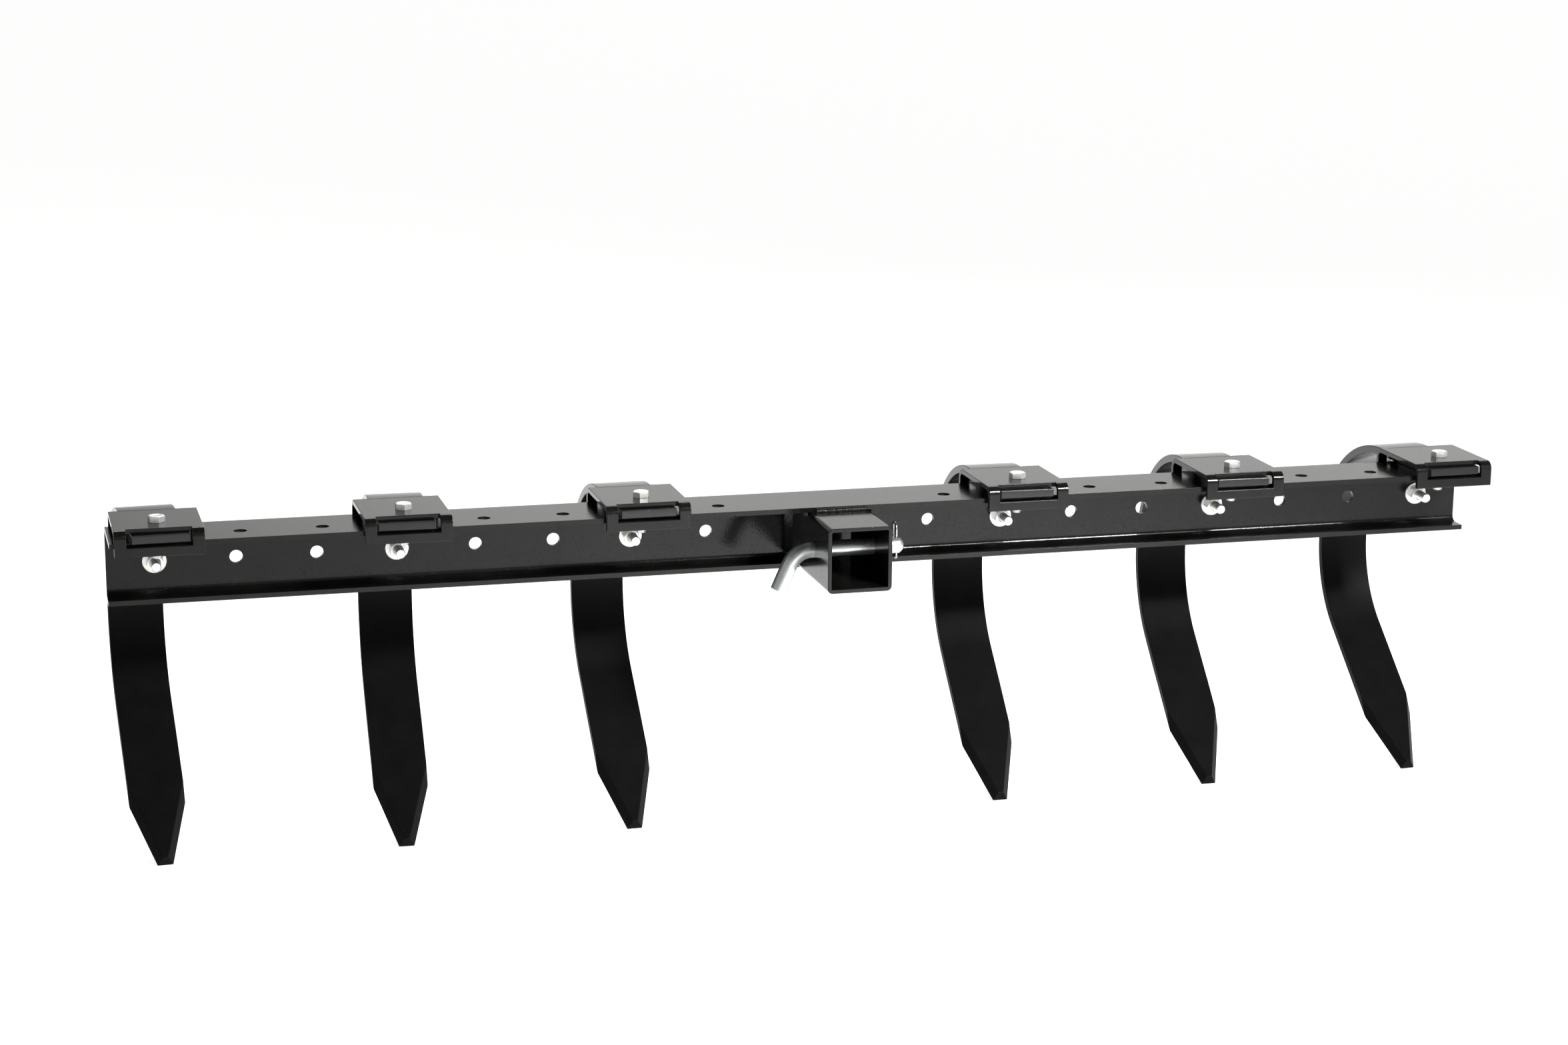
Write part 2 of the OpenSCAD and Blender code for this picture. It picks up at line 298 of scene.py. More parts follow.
def rounded_square(half, radius, steps=8):
    """Points round a square with round corners, counterclockwise."""
    points = []
    for quarter in range(4):
        start = quarter * math.pi / 2
        cx = (half - radius) * (1 if quarter in (0, 3) else -1)
        cz = (half - radius) * (1 if quarter in (0, 1) else -1)
        for step in range(steps + 1):
            angle = start + math.pi / 2 * step / steps
            points.append((cx + radius * math.cos(angle), cz + radius * math.sin(angle)))
    return points


def sweep(bm, points, radii, sides=32):
    """Round bar or wire along points, with its own radius at each."""
    rings = []
    side = None
    for i, point in enumerate(points):
        ahead = points[min(i + 1, len(points) - 1)] - points[max(i - 1, 0)]
        ahead.normalize()
        if side is None:
            side = ahead.orthogonal()
        side = (side - ahead * side.dot(ahead)).normalized()
        up = ahead.cross(side)
        ring = []
        for k in range(sides):
            angle = 2 * math.pi * k / sides
            ring.append(point + (side * math.cos(angle) + up * math.sin(angle)) * radii[i])
        rings.append(ring)
    loft(bm, rings)


# ---- materials ----


def new_material(name):
    """New node material, with its tree and its shader."""
    material = bpy.data.materials.new(name)
    material.use_nodes = True
    tree = material.node_tree
    return material, tree, tree.nodes["Principled BSDF"]


def noise(tree, scale, detail=3.0, roughness=0.55):
    """Noise fixed to the piece itself, so it turns with it."""
    coords = tree.nodes.new("ShaderNodeTexCoord")
    texture = tree.nodes.new("ShaderNodeTexNoise")
    texture.inputs["Scale"].default_value = scale
    texture.inputs["Detail"].default_value = detail
    texture.inputs["Roughness"].default_value = roughness
    tree.links.new(coords.outputs["Object"], texture.inputs["Vector"])
    return texture


def ramp(tree, source, stops):
    """Colour ramp from (position, colour) stops, driven by source."""
    node = tree.nodes.new("ShaderNodeValToRGB")
    for extra in range(len(stops) - 2):
        node.color_ramp.elements.new(0.5 + 0.01 * extra)
    for element, (position, colour) in zip(node.color_ramp.elements, stops):
        element.position = position
        element.color = (*colour, 1)
    tree.links.new(source, node.inputs["Fac"])
    return node


def value_range(tree, source, low, high):
    """Spreads a noise's usual values, 0.3 to 0.7, from low to high."""
    node = tree.nodes.new("ShaderNodeMapRange")
    node.inputs["From Min"].default_value = 0.3
    node.inputs["From Max"].default_value = 0.7
    node.inputs["To Min"].default_value = low
    node.inputs["To Max"].default_value = high
    tree.links.new(source, node.inputs["Value"])
    return node.outputs["Result"]


def multiply(tree, first, second):
    """Product of two values, each a number or a socket."""
    node = tree.nodes.new("ShaderNodeMath")
    node.operation = "MULTIPLY"
    for socket, value in zip(node.inputs, (first, second)):
        if isinstance(value, float):
            socket.default_value = value
        else:
            tree.links.new(value, socket)
    return node.outputs["Value"]


def smooth_step(tree, source, low, high, at_low, at_high):
    """Eases from at_low to at_high while source goes from low to high."""
    node = tree.nodes.new("ShaderNodeMapRange")
    node.interpolation_type = "SMOOTHSTEP"
    node.inputs["From Min"].default_value = low
    node.inputs["From Max"].default_value = high
    node.inputs["To Min"].default_value = at_low
    node.inputs["To Max"].default_value = at_high
    tree.links.new(source, node.inputs["Value"])
    return node.outputs["Result"]


def bump(tree, height, distance, strength, normal=None):
    """Fine relief from height, on top of normal where one is given."""
    node = tree.nodes.new("ShaderNodeBump")
    node.inputs["Distance"].default_value = distance
    node.inputs["Strength"].default_value = strength
    tree.links.new(height, node.inputs["Height"])
    if normal:
        tree.links.new(normal, node.inputs["Normal"])
    return node.outputs["Normal"]


def powder_coat(name, dark, light, gloss, peel, specular=0.5):
    """Baked black powder paint: orange peel, dust nibs, faint colour drift and uneven gloss."""
    material, tree, shader = new_material(name)
    drift = noise(tree, 35, 4)
    colour = ramp(tree, drift.outputs["Fac"], [(0.3, dark), (0.7, light)])
    tree.links.new(colour.outputs["Color"], shader.inputs["Base Color"])
    patches = noise(tree, 18, 3)
    tree.links.new(
        value_range(tree, patches.outputs["Fac"], gloss[0], gloss[1]), shader.inputs["Roughness"]
    )
    coarse = noise(tree, 560, 2)
    fine = noise(tree, 2600, 1)
    first = bump(tree, coarse.outputs["Fac"], 0.25 * MM, peel)
    second = bump(tree, fine.outputs["Fac"], 0.04 * MM, peel, first)
    specks = noise(tree, 800, 1)
    nibs = smooth_step(tree, specks.outputs["Fac"], 0.66, 0.74, 0.0, 1.0)
    tree.links.new(bump(tree, nibs, 0.10 * MM, 0.7, second), shader.inputs["Normal"])
    shader.inputs["Specular IOR Level"].default_value = specular
    return material


def tine_paint(name, dark, light):
    """Gloss black on the clamped end and the loop's crown, flat black further down the shank."""
    material = powder_coat(name, dark, light, (0.10, 0.16), 0.20)
    tree = material.node_tree
    shader = tree.nodes["Principled BSDF"]
    coords = tree.nodes.new("ShaderNodeTexCoord")
    split = tree.nodes.new("ShaderNodeSeparateXYZ")
    tree.links.new(coords.outputs["Object"], split.inputs["Vector"])
    for socket, at_shank, at_crown in (
        ("Specular IOR Level", 0.05, 0.5),
        ("Roughness", 0.42, 0.14),
    ):
        level = smooth_step(tree, split.outputs["Z"], -0.070, -0.010, at_shank, at_crown)
        tree.links.new(level, shader.inputs[socket])
    return material


def zinc_plate(name, tones, gloss, scratch, metallic):
    """Bright zinc over steel: clouded tone with a blue-yellow cast, fine drawn scratches."""
    material, tree, shader = new_material(name)
    clouds = noise(tree, 90, 5, 0.6)
    colour = ramp(tree, clouds.outputs["Fac"], tones)
    tree.links.new(colour.outputs["Color"], shader.inputs["Base Color"])
    spots = noise(tree, 300, 4, 0.7)
    tree.links.new(
        value_range(tree, spots.outputs["Fac"], gloss[0], gloss[1]), shader.inputs["Roughness"]
    )
    grain = noise(tree, 1500, 4, 0.7)
    tree.links.new(
        bump(tree, grain.outputs["Fac"], 0.06 * MM, scratch), shader.inputs["Normal"]
    )
    shader.inputs["Metallic"].default_value = metallic
    return material


def make_materials():
    """One material for each slot of the record."""
    black = (0.0032, 0.0032, 0.0030)
    worn_black = (0.0064, 0.0064, 0.0060)
    bright = [(0.25, (0.80, 0.85, 0.90)), (0.5, (0.93, 0.93, 0.92)), (0.75, (0.96, 0.90, 0.76))]
    pin_grey = [(0.25, (0.62, 0.65, 0.67)), (0.5, (0.69, 0.71, 0.72)), (0.75, (0.75, 0.76, 0.76))]
    clip_grey = [(0.25, (0.28, 0.29, 0.32)), (0.5, (0.42, 0.42, 0.45)), (0.75, (0.60, 0.58, 0.58))]
    tine_dark, tine_light = (0.0032, 0.0032, 0.0032), (0.0046, 0.0046, 0.0046)
    return {
        "bar_paint": powder_coat("bar_paint", black, worn_black, (0.09, 0.16), 0.26, 0.27),
        "tube_paint": powder_coat("tube_paint", black, worn_black, (0.09, 0.15), 0.18, 0.27),
        "weld_paint": powder_coat("weld_paint", black, worn_black, (0.30, 0.45), 1.0, 0.20),
        "clamp_paint": powder_coat("clamp_paint", black, worn_black, (0.08, 0.13), 0.13, 0.27),
        "tine_black": tine_paint("tine_black", tine_dark, tine_light),
        "bolt_zinc": zinc_plate("bolt_zinc", bright, (0.24, 0.38), 0.15, 0.80),
        "washer_zinc": zinc_plate("washer_zinc", bright, (0.30, 0.44), 0.20, 0.80),
        "pin_zinc": zinc_plate("pin_zinc", pin_grey, (0.26, 0.34), 0.10, 0.92),
        "clip_zinc": zinc_plate("clip_zinc", clip_grey, (0.14, 0.24), 0.08, 1.0),
    }


MATERIALS = make_materials()


def finish_piece(obj, body, slot, *nodes):
    """Gives a new piece its material and its body, and hides the CAD nodes that it stands for."""
    obj.data.materials.clear()
    obj.data.materials.append(MATERIALS[slot])
    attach(obj, body)
    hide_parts(*nodes)
    return obj


# ---- bar and receiver ----


def station_x(i):
    """Place along the bar of hole station i."""
    return (i - (STATIONS - 1) / 2) * HOLE_PITCH


def hole_columns():
    """Places along the bar of all its holes, used and free."""
    return sorted(STATION_X + [station_x(i) for i in FREE_STATIONS])


def build_toolbar():
    """Folded channel with its two rows of holes."""
    bottom = BAR_LOW.z
    outline = folded_plate(
        [
            (BAR_FRONT, BAR_TOP),
            (BAR_REAR, BAR_TOP),
            (BAR_REAR, bottom),
            (BAR_REAR - LIP_DEPTH, bottom),
        ],
        [BAR_BEND, BAR_BEND],
    )
    bar = extrude_section("toolbar_plate", outline, BAR_LOW.x, BAR_HIGH.x)
    cutters = bmesh.new()
    for x in hole_columns():
        add_cylinder(cutters, (x, BOLT_Y, BAR_TOP), Z_AXIS, BAR_HOLE, 3 * PLATE)
        add_cylinder(cutters, (x, BAR_REAR, 0), Y_AXIS, BAR_HOLE, 3 * PLATE)
    cut_away(bar, cutters)
    round_edges(bar, BAR_EDGE)
    return finish_piece(bar, "frame", "bar_paint", "toolbar")


def build_receiver_tube():
    """Square tube with round corners and the hole for the pin."""
    half = TUBE_HIGH.x
    outer = rounded_square(half, TUBE_CORNER)
    inner = rounded_square(half - TUBE_WALL, TUBE_CORNER - TUBE_WALL)
    bm = bmesh.new()
    ring = [
        [(x, TUBE_LOW.y, z) for x, z in outer],
        [(x, TUBE_HIGH.y, z) for x, z in outer],
        [(x, TUBE_HIGH.y, z) for x, z in inner],
        [(x, TUBE_LOW.y, z) for x, z in inner],
    ]
    loft(bm, [*ring, ring[0]], closed_ends=False)
    tube = link_mesh("receiver_tube_square", bm)
    cutters = bmesh.new()
    add_cylinder(cutters, (0, 0, 0), X_AXIS, PIN_HOLE, 4 * half)
    cut_away(tube, cutters)
    round_edges(tube, TUBE_EDGE)
    return finish_piece(tube, "frame", "tube_paint", "receiver_tube")


def weld_bead(bm, start, end, wall, floor, seed):
    """Rippled, uneven fillet from start to end, between the directions wall and floor."""
    draw = random.Random(seed)
    run = end - start
    length = run.length
    along = run.normalized()
    steps = int(length / (0.3 * MM))
    arc_steps = 14
    phase = draw.random()
    lumps = [draw.uniform(0.90, 1.04) for _ in range(int(length / WELD_RIPPLE) + 3)]
    rings = []
    for i in range(steps + 1):
        s = length * i / steps
        count, share = divmod(s / WELD_RIPPLE + phase, 1.0)
        lump = lumps[int(count)] * (1 - share) + lumps[int(count) + 1] * share
        swell = lump * (1 + 0.05 * (1 - share) ** 1.6)
        taper = min(1.0, 0.35 + s / (2.5 * MM), 0.35 + (length - s) / (2.5 * MM))
        size = WELD_LEG * swell * taper
        ring = [start + along * s]
        for k in range(arc_steps + 1):
            angle = math.pi / 2 * k / arc_steps
            # each ripple is a crescent, so it trails at the bead's middle
            lag = 1.1 * MM * math.sin(2 * angle) * (1 if 0 < i < steps else 0)
            grain = 1 + draw.uniform(-0.012, 0.012)
            belly = (0.84 + 0.09 * math.sin(2 * angle)) * grain
            point = start + along * min(s + lag, length)
            point = point + (wall * math.sin(angle) + floor * math.cos(angle)) * size * belly
            ring.append(point)
        rings.append(ring)
    loft(bm, rings)


def build_welds():
    """Beads over the top, along both sides and on the bottom lip of the tube."""
    half = TUBE_HIGH.x
    flat = half - TUBE_CORNER
    toe = BAR_REAR - LIP_DEPTH
    bm = bmesh.new()
    weld_bead(
        bm, Vector((-flat, BAR_FRONT, half)), Vector((flat, BAR_FRONT, half)), Z_AXIS, -Y_AXIS, 3
    )
    weld_bead(bm, Vector((-flat, toe, -half)), Vector((flat, toe, -half)), -Z_AXIS, -Y_AXIS, 5)
    for side in (-1, 1):
        start = Vector((side * half, BAR_FRONT, half))
        weld_bead(bm, start, start + Y_AXIS * SIDE_WELD_LEN, side * X_AXIS, -Z_AXIS, 7 + side)
    welds = link_mesh("weld_beads", bm)
    shade(welds, 60)
    return finish_piece(welds, "frame", "weld_paint", "receiver_welds")


# ---- clamps ----


def build_clamp(number, x):
    """Bent saddle with a window in front and one behind for its tine."""
    front, rear = CLAMP_LOW.y, CLAMP_HIGH.y
    top = CLAMP_HIGH.z
    outline = folded_plate(
        [
            (front, BAR_TOP - CLAMP_FRONT_DROP),
            (front, top),
            (rear, top),
            (rear, CLAMP_LOW.z),
        ],
        [CLAMP_FRONT_BEND, CLAMP_REAR_BEND],
    )
    clamp = extrude_section(f"clamp_plate_{number}", outline, x - CLAMP_HALF, x + CLAMP_HALF)
    sill = BAR_TOP - WINDOW_SILL
    reach = 40 * MM
    cutters = bmesh.new()
    add_block(
        cutters,
        (x - WINDOW_FRONT, front - reach, sill),
        (x + WINDOW_FRONT, BAR_FRONT + WINDOW_CUT, top + reach),
    )
    add_block(
        cutters,
        (x - WINDOW_REAR, rear - CLAMP_REAR_BEND, sill),
        (x + WINDOW_REAR, rear + reach, top + reach),
    )
    add_cylinder(cutters, (x, BOLT_Y, top), Z_AXIS, CLAMP_HOLE, 4 * PLATE)
    add_cylinder(cutters, (x, rear, 0), Y_AXIS, CLAMP_HOLE, 4 * PLATE)
    cut_away(clamp, cutters)
    round_edges(clamp, CLAMP_EDGE)
    return finish_piece(clamp, "frame", "clamp_paint", f"clamp_{number}")


# ---- tines ----


def tine_line():
    """Centre of the rear or upper face along a tine, with the direction out of that face."""
    top = BAR_TOP + TINE_SLIP + TINE_T
    loop_y = BOLT_Y + TINE_FLAT
    stations = [((BOLT_Y - TINE_NOSE, top), (0, 1)), ((BOLT_Y, top), (0, 1))]
    steps = 96
    for i in range(steps + 1):
        angle = math.pi / 2 - (math.pi / 2 + LEG_LEAN) * i / steps
        out = (math.cos(angle), math.sin(angle))
        point = (loop_y + LOOP_R * out[0], top - LOOP_R + LOOP_R * out[1])
        stations.append((point, out))
    point, out = stations[-1]
    ahead = (-math.sin(LEG_LEAN), -math.cos(LEG_LEAN))
    for share in (0.35, 1):
        end = tuple(point[k] + ahead[k] * LEG_LEN * share for k in (0, 1))
        stations.append((end, out))
    return stations


def slice_leg(bm, leg_origin, point, normal):
    """Cuts the leg along a plane, takes away the side that normal points to and closes it."""
    reach = LEG_LEN * 0.75
    ahead = Vector((0, -math.sin(LEG_LEAN), -math.cos(LEG_LEAN)))
    faces = [
        f
        for f in bm.faces
        if (f.calc_center_median() - leg_origin).dot(ahead) > LEG_LEN * 0.3
        and (f.calc_center_median() - leg_origin).length < LEG_LEN + reach
    ]
    edges = list({e for f in faces for e in f.edges})
    verts = list({v for f in faces for v in f.verts})
    bmesh.ops.bisect_plane(
        bm, geom=verts + edges + faces, plane_co=point, plane_no=normal, clear_outer=True
    )
    open_edges = [e for e in bm.edges if e.is_boundary]
    bmesh.ops.holes_fill(bm, edges=open_edges, sides=0)


def build_tine(number, x, yaw):
    """C-shank with a bevelled point, turned by yaw about its clamp bolt."""
    stations = tine_line()
    bm = bmesh.new()
    rings = []
    for (y, z), (oy, oz) in stations:
        iy, iz = y - oy * TINE_T, z - oz * TINE_T
        rings.append(
            [(-TINE_HALF, y, z), (TINE_HALF, y, z), (TINE_HALF, iy, iz), (-TINE_HALF, iy, iz)]
        )
    loft(bm, rings)
    leg_origin = Vector((0, *stations[-3][0]))
    ahead = Vector((0, -math.sin(LEG_LEAN), -math.cos(LEG_LEAN)))
    out = Vector((0, math.cos(LEG_LEAN), -math.sin(LEG_LEAN)))
    slope = (TINE_HALF - POINT_HALF) / POINT_LEN
    shoulder = leg_origin + ahead * (LEG_LEN - POINT_LEN)
    for side in (-1, 1):
        normal = side * X_AXIS + slope * ahead - BEVEL_RUN / TINE_T * out
        slice_leg(bm, leg_origin, shoulder + side * TINE_HALF * X_AXIS, normal)
    end = leg_origin + ahead * LEG_LEN
    slice_leg(bm, leg_origin, end, ahead - math.tan(END_RAKE) * out)
    tine = link_mesh(f"tine_shank_{number}", bm)
    cutters = bmesh.new()
    add_cylinder(cutters, (0, BOLT_Y, BAR_TOP), Z_AXIS, TINE_HOLE, 4 * TINE_T)
    cut_away(tine, cutters)
    round_edges(tine, TINE_EDGE)
    pivot = Matrix.Translation((x, BOLT_Y, 0))
    turn = Matrix.Rotation(yaw, 4, "Z")
    tine.data.transform(pivot @ turn @ Matrix.Translation((0, -BOLT_Y, 0)))
    return finish_piece(tine, f"tine_{number}", "tine_black", f"tine_{number}")


# ---- fasteners ----


def hex_radius(angle):
    """Distance from the centre of a hexagon to its side, in the direction angle."""
    sixth = math.pi / 3
    return HEX_FLAT / math.cos((angle % sixth) - sixth / 2)


def hex_rings(low, high, chamfer_low, chamfer_high, sides=96):
    """Rings of a hexagonal block from z = low to high, with its corners turned off."""
    flat_r = 0.94 * HEX_FLAT
    slope = math.tan(math.radians(30))
    rings = []

    def ring(radius_of, height_of):
        points = []
        for k in range(sides):
            angle = 2 * math.pi * k / sides
            r = radius_of(angle)
            points.append((r * math.cos(angle), r * math.sin(angle), height_of(r)))
        rings.append(points)

    if chamfer_low:
        ring(lambda a: flat_r, lambda r: low)
        ring(hex_radius, lambda r: low + max(0.0, r - flat_r) * slope)
    else:
        ring(hex_radius, lambda r: low)
    if chamfer_high:
        ring(hex_radius, lambda r: high - max(0.0, r - flat_r) * slope)
        ring(lambda a: flat_r, lambda r: high)
    else:
        ring(hex_radius, lambda r: high)
    return rings


def circle_ring(radius, z, sides=96):
    """Level ring of points round the z axis."""
    return [
        (
            radius * math.cos(2 * math.pi * k / sides),
            radius * math.sin(2 * math.pi * k / sides),
            z,
        )
        for k in range(sides)
    ]


def thread(bm, low, high, place):
    """Screw thread along z, from low up to high, with a chamfered lower end."""
    sides = 40
    profile = ((0.0, 0.0), (0.42, 1.0), (0.58, 1.0), (0.95, 0.0))
    turns = int((high - low) / THREAD_PITCH) + 2
    columns = []
    for i in range(sides + 1):
        lift = THREAD_PITCH * i / sides
        angle = 2 * math.pi * i / sides
        column = []
        for turn in range(-1, turns):
            for share, crest in profile:
                z = low + THREAD_PITCH * (turn + share) + lift
                r = BOLT_R - THREAD_DEPTH * (1 - crest)
                z = min(max(z, low), high)
                r = min(r, BOLT_R - THREAD_DEPTH * 1.2 + (z - low) * 0.9)
                column.append(place @ Vector((r * math.cos(angle), r * math.sin(angle), z)))
        columns.append([bm.verts.new(p) for p in column])
    for a, b in zip(columns, columns[1:]):
        for j in range(len(a) - 1):
            bm.faces.new((a[j], b[j], b[j + 1], a[j + 1]))
    end = [place @ Vector(p) for p in circle_ring(BOLT_R - THREAD_DEPTH * 1.2, low, sides)]
    bm.faces.new([bm.verts.new(p) for p in end][::-1])


def add_bolt(bm, place, length=BOLT_LEN):
    """Hex bolt: its head stands on z = 0 of place, and its shank points down."""
    rings = hex_rings(WASHER_FACE, HEAD_H, False, True)
    rings = [circle_ring(HEX_FLAT * 0.96, 0), circle_ring(HEX_FLAT * 0.96, WASHER_FACE), *rings]
    dish = [circle_ring(HEX_FLAT * 0.80, HEAD_H), circle_ring(HEX_FLAT * 0.74, HEAD_H - 0.12 * MM)]
    loft(bm, [[place @ Vector(p) for p in ring] for ring in rings + dish])
    shank = [circle_ring(BOLT_R, -PLAIN_SHANK), circle_ring(BOLT_R, 0)]
    loft(bm, [[place @ Vector(p) for p in ring] for ring in shank])
    thread(bm, -length, -PLAIN_SHANK, place)


def add_upright_bolt(bm, place):
    """Hex bolt of the shorter length used through the clamps' tops."""
    add_bolt(bm, place, UPRIGHT_BOLT_LEN)


def add_nut(bm, place):
    """Hex nut hanging below z = 0 of place, chamfered on both faces and at its thread's mouth."""
    bore = BOLT_R + 0.05 * MM
    mouth = BOLT_R + 0.7 * MM
    rings = hex_rings(-NUT_H, 0, True, True)
    rings = [circle_ring(mouth, -NUT_H), *rings, circle_ring(mouth, 0)]
    rings += [circle_ring(bore, -0.7 * MM), circle_ring(bore, 0.7 * MM - NUT_H), rings[0]]
    loft(bm, [[place @ Vector(p) for p in ring] for ring in rings], closed_ends=False)


def add_washer(bm, place):
    """Stamped flat washer hanging below z = 0 of place, with a rolled upper rim."""
    roll = 0.35 * MM
    rings = [
        circle_ring(WASHER_BORE, 0),
        circle_ring(WASHER_R - roll, 0),
        circle_ring(WASHER_R, -roll),
        circle_ring(WASHER_R, roll - WASHER_T),
        circle_ring(WASHER_R - roll, -WASHER_T),
        circle_ring(WASHER_BORE + roll / 2, -WASHER_T),
        circle_ring(WASHER_BORE, roll / 2 - WASHER_T),
        circle_ring(WASHER_BORE, 0),
    ]
    loft(bm, [[place @ Vector(p) for p in ring] for ring in rings], closed_ends=False)


def upright_place(x, height, turn):
    """Frame whose +Z points up, at the upright holes."""
    return Matrix.Translation((x, BOLT_Y, height)) @ Matrix.Rotation(turn, 4, "Z")


def level_place(x, depth, turn):
    """Frame whose +Z points to the rear, at the bar's level holes."""
    lay = Matrix.Rotation(-math.pi / 2, 4, "X")
    return Matrix.Translation((x, depth, 0)) @ lay @ Matrix.Rotation(turn, 4, "Z")


def build_set(name, node, slot, add, place_of, offset, turns, angle=40):
    """One piece that holds the same fastener at each of the six clamps."""
    bm = bmesh.new()
    for x, turn in zip(STATION_X, turns):
        add(bm, place_of(x, offset, math.radians(turn)))
    obj = link_mesh(name, bm)
    shade(obj, angle)
    return finish_piece(obj, "frame", slot, node)


def build_fasteners():
    """Bolts, washers and nuts; the turns are degrees about each one's own axis, left to right."""
    top, rear = CLAMP_HIGH.z, CLAMP_HIGH.y
    under = BAR_TOP - PLATE
    web = BAR_REAR - PLATE
    turns_a = (-18, 30, 10, -22, -10, -16)
    turns_b = (15, 33, 4, 51, 20, 38)
    bolt, washer = "bolt_zinc", "washer_zinc"
    for row in (
        ("upright_bolts", "clamp_bolts", bolt, add_upright_bolt, upright_place, top, turns_a),
        ("level_bolts", "web_bolts", bolt, add_bolt, level_place, rear, turns_b),
        ("upright_washers", "clamp_washers", washer, add_washer, upright_place, under, turns_a),
        ("level_washers", "web_washers", washer, add_washer, level_place, web, turns_a),
        ("upright_nuts", "clamp_nuts", bolt, add_nut, upright_place, under - WASHER_T, turns_b),
        ("level_nuts", "web_nuts", bolt, add_nut, level_place, web - WASHER_T, turns_a),
    ):
        build_set(*row)


# ---- hitch pin and clip ----


def build_pin():
    """Round bar swept along the pin, from its tapered tip to the end of its handle."""
    end_r = PIN_R - 0.85 * PIN_TAPER
    round_off = 0.5 * MM
    reach = PIN_TIP_X
    points, radii = [], []

    def station(x, z, r):
        points.append(Vector((x, 0, z)))
        radii.append(r)

    station(reach, 0, end_r - round_off)
    station(reach - 0.15 * round_off, 0, end_r - 0.3 * round_off)
    station(reach - round_off, 0, end_r + 0.2 * round_off)
    station(reach - PIN_TAPER, 0, PIN_R)
    station(reach - PIN_TAPER - 1 * MM, 0, PIN_R)
    straight_steps = 20
    left = PIN_BEND_X
    right = reach - PIN_TAPER - 1 * MM
    for i in range(1, straight_steps):
        station(right + (left - right) * i / straight_steps, 0, PIN_R)
    bend_steps = 40
    for i in range(bend_steps + 1):
        angle = math.pi / 2 + PIN_BEND * i / bend_steps
        station(
            PIN_BEND_X + PIN_BEND_R * math.cos(angle),
            PIN_BEND_R * (math.sin(angle) - 1),
            PIN_R,
        )
    start = points[-1].copy()
    ahead = Vector((-math.cos(PIN_BEND), 0, -math.sin(PIN_BEND)))
    for s in (4 * MM, 12 * MM, PIN_HANDLE - 1.2 * MM):
        p = start + ahead * s
        station(p.x, p.z, PIN_R)
    for s, r in ((0.7 * MM, 0.25 * MM), (0.25 * MM, 0.7 * MM), (0, 1.3 * MM)):
        p = start + ahead * (PIN_HANDLE - s)
        station(p.x, p.z, PIN_R - r)
    bm = bmesh.new()
    sweep(bm, points, radii, 56)
    pin = link_mesh("hitch_pin_bent", bm)
    cutters = bmesh.new()
    add_cylinder(cutters, (CLIP_X, 0, 0), Z_AXIS, CROSS_HOLE, 4 * PIN_R, 32)
    cut_away(pin, cutters)
    round_edges(pin, PIN_EDGE, 2, 50)
    return finish_piece(pin, "pin", "pin_zinc", "hitch_pin")


def build_clip():
    """Hairpin wire: straight leg through the pin, a bent eye above it and a sprung outer leg."""
    points = []

    def station(y, z):
        points.append(Vector((CLIP_X, y, z)))

    for i in range(13):
        station(0, -CLIP_DROP + (CLIP_DROP + EYE_RISE) * i / 12)
    steps = 40
    for i in range(1, steps + 1):
        angle = math.pi * (1 - i / steps)
        station(EYE_R + EYE_R * math.cos(angle), EYE_RISE + EYE_R * math.sin(angle))
    pinch = PIN_R + WIRE_R + CLIP_SLACK
    for i in range(1, 11):
        station(2 * EYE_R + (pinch - 2 * EYE_R) * i / 10, EYE_RISE * (1 - i / 10))
    for i in range(1, 9):
        station(pinch + 4 * MM * i / 8, -8.5 * MM * i / 8)
    radii = [WIRE_R] * len(points)
    points.insert(1, points[0] + Z_AXIS * 0.3 * MM)
    points.insert(-1, points[-1] + (points[-2] - points[-1]).normalized() * 0.3 * MM)
    radii = [WIRE_R * 0.75, *radii, WIRE_R * 0.75]
    bm = bmesh.new()
    sweep(bm, points, radii, 20)
    clip = link_mesh("hairpin_clip", bm)
    shade(clip, 50)
    return finish_piece(clip, "clip", "clip_zinc", "hitch_clip")


# ---- camera, light and floor ----

CAMERA_AT = (-0.8334, -2.8423, 0.7176)
CAMERA_YAW = math.radians(15.201)
CAMERA_PITCH = math.radians(13.177)
CAMERA_ROLL = math.radians(0.477)
CAMERA_LENS = 72.618
FLOOR_GAP = 0.2 * MM


def build_camera():
    """The camera of the photographed view."""
    sy, cy = math.sin(CAMERA_YAW), math.cos(CAMERA_YAW)
    sp, cp = math.sin(CAMERA_PITCH), math.cos(CAMERA_PITCH)
    look = Vector((sy * cp, cy * cp, -sp))
    right = Vector((cy, -sy, 0))
    up = right.cross(look)
    cr, sr = math.cos(CAMERA_ROLL), math.sin(CAMERA_ROLL)
    side = right * cr + up * sr
    top = up * cr - right * sr
    camera = bpy.data.objects.new("camera", bpy.data.cameras.new("camera"))
    camera.data.sensor_width = 36
    camera.data.lens = CAMERA_LENS
    camera.data.clip_start = 0.05
    camera.data.clip_end = 60
    camera.matrix_world = Matrix(
        (
            (side.x, top.x, -look.x, CAMERA_AT[0]),
            (side.y, top.y, -look.y, CAMERA_AT[1]),
            (side.z, top.z, -look.z, CAMERA_AT[2]),
            (0, 0, 0, 1),
        )
    )
    bpy.context.scene.collection.objects.link(camera)
    bpy.context.scene.camera = camera


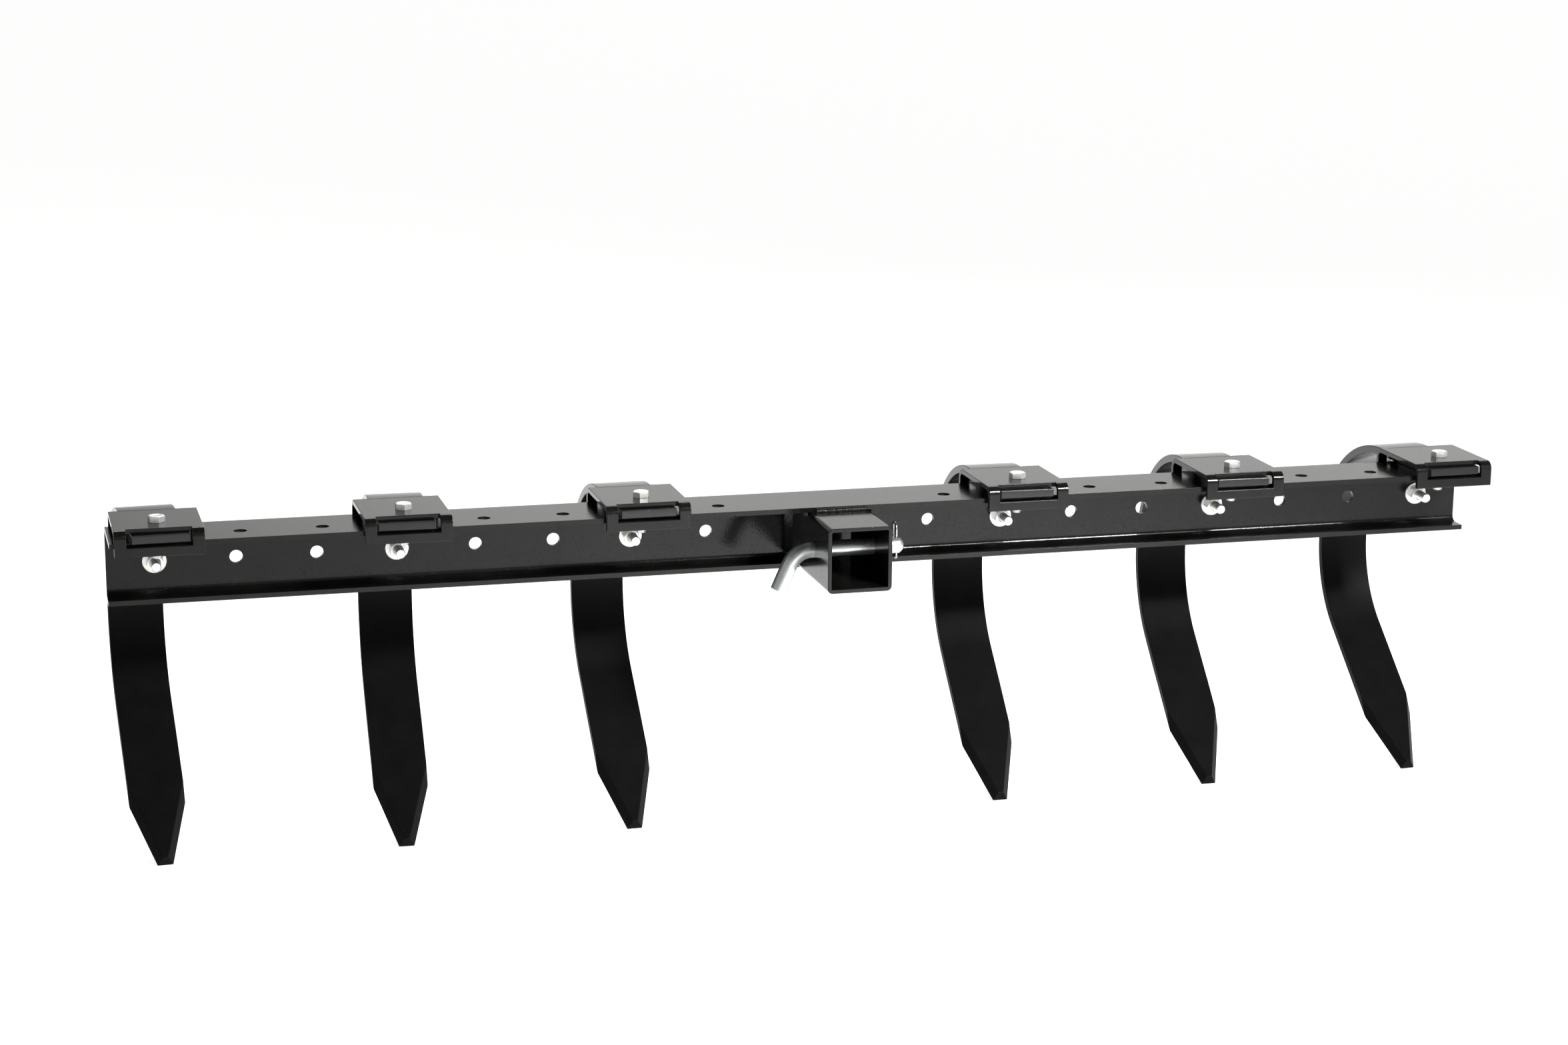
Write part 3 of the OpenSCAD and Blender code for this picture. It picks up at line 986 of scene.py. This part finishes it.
def area_light(name, place, target, size, power, spread=180):
    """Soft rectangular light at place, aimed at target."""
    light = bpy.data.lights.new(name, "AREA")
    light.shape = "RECTANGLE"
    light.size, light.size_y = size
    light.energy = power
    light.spread = math.radians(spread)
    obj = bpy.data.objects.new(name, light)
    obj.location = place
    obj.rotation_mode = "QUATERNION"
    obj.rotation_quaternion = (Vector(target) - Vector(place)).to_track_quat("-Z", "Y")
    bpy.context.scene.collection.objects.link(obj)


def build_world():
    """Studio walls: a bright band round the horizon, dim to the left and in front, dark above."""
    world = bpy.data.worlds.new("studio")
    world.use_nodes = True
    tree = world.node_tree
    coords = tree.nodes.new("ShaderNodeTexCoord")
    split = tree.nodes.new("ShaderNodeSeparateXYZ")
    tree.links.new(coords.outputs["Generated"], split.inputs["Vector"])
    band = smooth_step(tree, split.outputs["Z"], 0.30, 0.80, 1.0, 0.12)
    left = smooth_step(tree, split.outputs["X"], -0.08, 0.22, 0.36, 1.0)
    front = smooth_step(tree, split.outputs["Y"], -0.45, 0.25, 0.50, 1.0)
    level = multiply(tree, multiply(tree, band, left), front)
    background = tree.nodes["Background"]
    tree.links.new(level, background.inputs["Strength"])
    background.inputs["Color"].default_value = (1.13, 1.13, 1.11, 1)
    bpy.context.scene.world = world


def build_lights():
    """Key light, a pool on the floor in front, a rear light and the studio walls."""
    area_light("key", (1.5, -2.6, 1.95), (0.15, 0.05, -0.05), (0.8, 0.6), 19, 50)
    area_light("floor_pool", (0.45, -1.15, 1.3), (0.45, -1.15, -0.29), (0.7, 0.4), 8, 70)
    area_light("back_top", (0.3, 2.6, 2.4), (0, 0.4, -0.3), (2.4, 1.0), 14, 120)
    build_world()


def build_floor():
    """Plain pale floor just below the lowest point."""
    level = CAD_BOX[0].z - FLOOR_GAP
    bm = bmesh.new()
    bmesh.ops.create_grid(bm, x_segments=1, y_segments=1, size=30)
    floor = link_mesh("floor", bm)
    floor.location = (0, 0, level)
    material, _, shader = new_material("floor_white")
    shader.inputs["Base Color"].default_value = (0.8, 0.8, 0.8, 1)
    shader.inputs["Roughness"].default_value = 0.9
    shader.inputs["Emission Color"].default_value = (1, 1, 1, 1)
    shader.inputs["Emission Strength"].default_value = 0.78
    floor.data.materials.append(material)


build_camera()
build_lights()
build_floor()
build_toolbar()
build_receiver_tube()
build_welds()
for index, (place_x, rest_yaw) in enumerate(zip(STATION_X, TINE_YAW), start=1):
    build_clamp(index, place_x)
    build_tine(index, place_x, rest_yaw)
build_fasteners()
build_pin()
build_clip()
bpy.context.scene.view_settings.view_transform = "Standard"
